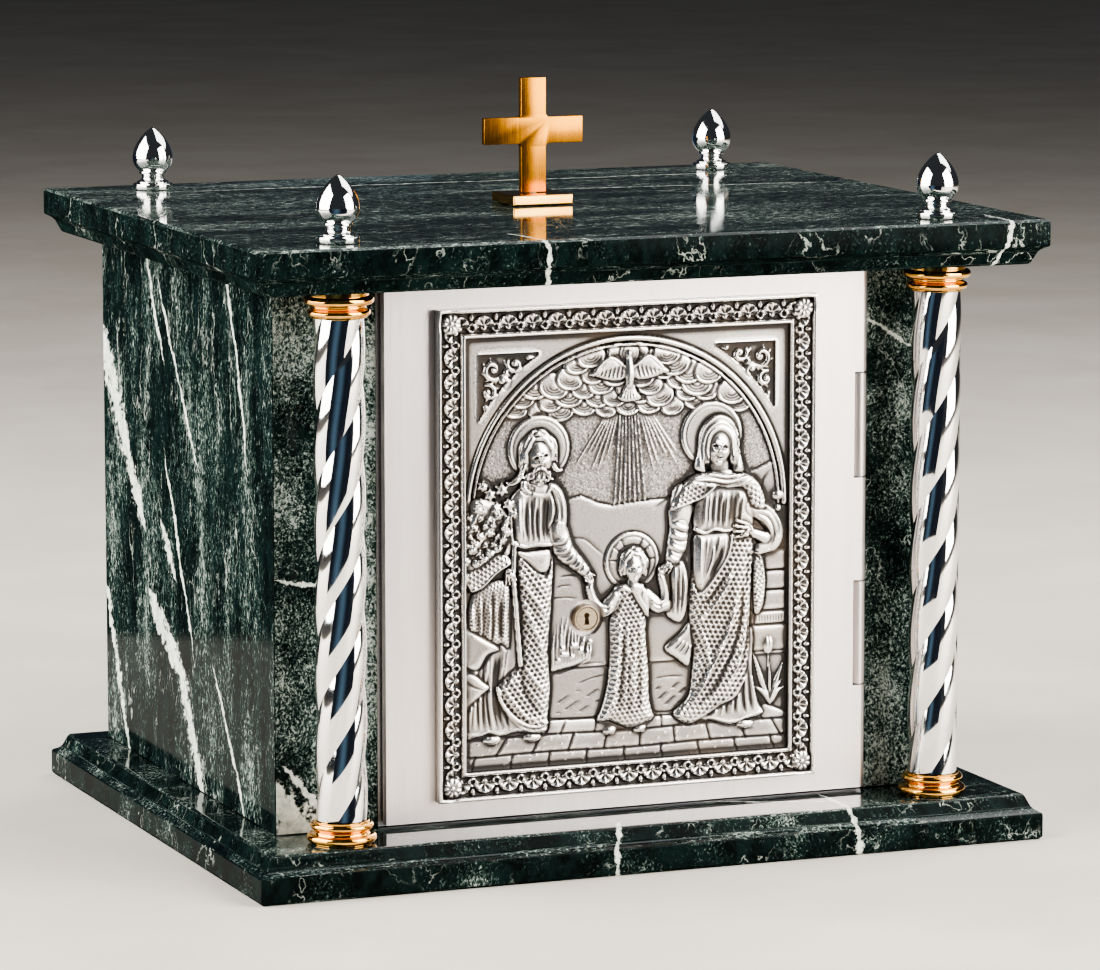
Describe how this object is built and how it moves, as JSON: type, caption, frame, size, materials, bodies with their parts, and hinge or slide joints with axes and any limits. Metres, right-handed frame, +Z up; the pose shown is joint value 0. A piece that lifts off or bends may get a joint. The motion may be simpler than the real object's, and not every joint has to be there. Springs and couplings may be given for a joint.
{
  "type": "tabernacle box",
  "caption": "Marble table-top tabernacle with twisted columns, finials, a standing cross, and a hinged, lockable door with a relief plaque over a steel strongbox.",
  "frame": {"origin": "middle of the base slab's underside", "axes": "+Z up, the door faces -Y, +X to the right of someone facing the door"},
  "size_m": [0.4, 0.334, 0.3639],
  "materials": {
    "green_marble": "polished, dark green with pale veins",
    "silver_plate": "mirror polish",
    "gilt_brass": "mirror polish",
    "brushed_steel": "satin, brushed upwards",
    "antique_silver": "embossed, darkened in its hollows",
    "plain_steel": "plain zinc-grey",
    "lock_brass": "dull"
  },
  "bodies": {
    "root": {"back_wall": "green_marble", "base_slab": "green_marble", "column_base_left": "gilt_brass", "column_base_right": "gilt_brass", "column_capital_left": "gilt_brass", "column_capital_right": "gilt_brass", "column_shaft_left": "silver_plate", "column_shaft_right": "silver_plate", "cross": "gilt_brass", "cross_base": "gilt_brass", "cross_screw": "plain_steel", "door_frame": "plain_steel", "finial_back_left": "silver_plate", "finial_back_right": "silver_plate", "finial_front_left": "silver_plate", "finial_front_right": "silver_plate", "finial_stud_back_left": "plain_steel", "finial_stud_back_right": "plain_steel", "frame_screw_left_high": "plain_steel", "frame_screw_left_low": "plain_steel", "frame_screw_right_high": "plain_steel", "frame_screw_right_low": "plain_steel", "hinge_leaf": "brushed_steel", "hinge_pin": "plain_steel", "inner_case": "plain_steel", "leaf_screw_1": "plain_steel", "leaf_screw_2": "plain_steel", "leaf_screw_3": "plain_steel", "leaf_screw_4": "plain_steel", "left_stile": "green_marble", "left_wall": "green_marble", "right_stile": "green_marble", "right_wall": "green_marble", "tie_rod_left": "plain_steel", "tie_rod_nut_left": "plain_steel", "tie_rod_nut_right": "plain_steel", "tie_rod_right": "plain_steel", "tie_rod_washer_left": "plain_steel", "tie_rod_washer_right": "plain_steel", "top_slab": "green_marble"},
    "door": {"bolt_guide": "plain_steel", "case_screw_lower": "plain_steel", "case_screw_upper": "plain_steel", "door_plate": "brushed_steel", "guide_screw_lower": "plain_steel", "guide_screw_upper": "plain_steel", "lock_barrel": "lock_brass", "lock_case": "plain_steel", "plaque_screw_1": "plain_steel", "plaque_screw_2": "plain_steel", "plaque_screw_3": "plain_steel", "plaque_screw_4": "plain_steel", "relief_plaque": "antique_silver"},
    "plug": {"lock_plug": "lock_brass", "lock_cam": "plain_steel", "cam_screw": "plain_steel"},
    "bolt": {"lock_bolt": "plain_steel"}
  },
  "joints": [
    {"name": "door_hinge", "type": "hinge", "parent": "root", "child": "door", "pos_m": [0.121, -0.1215, 0.151], "axis": [0, 0, 1], "range_deg": [0, 95]},
    {"name": "plug_turn", "type": "hinge", "parent": "door", "child": "plug", "pos_m": [-0.0235, -0.1288, 0.117], "axis": [0, -1, 0], "range_deg": [0, 90]},
    {"name": "bolt_slide", "type": "slide", "parent": "door", "child": "bolt", "axis": [-1, 0, 0], "range_m": [0, 0.01104]}
  ],
  "couplings": [
    {"joint": "plug_turn", "follows": "bolt_slide", "rad_per_m": 142.28}
  ]
}
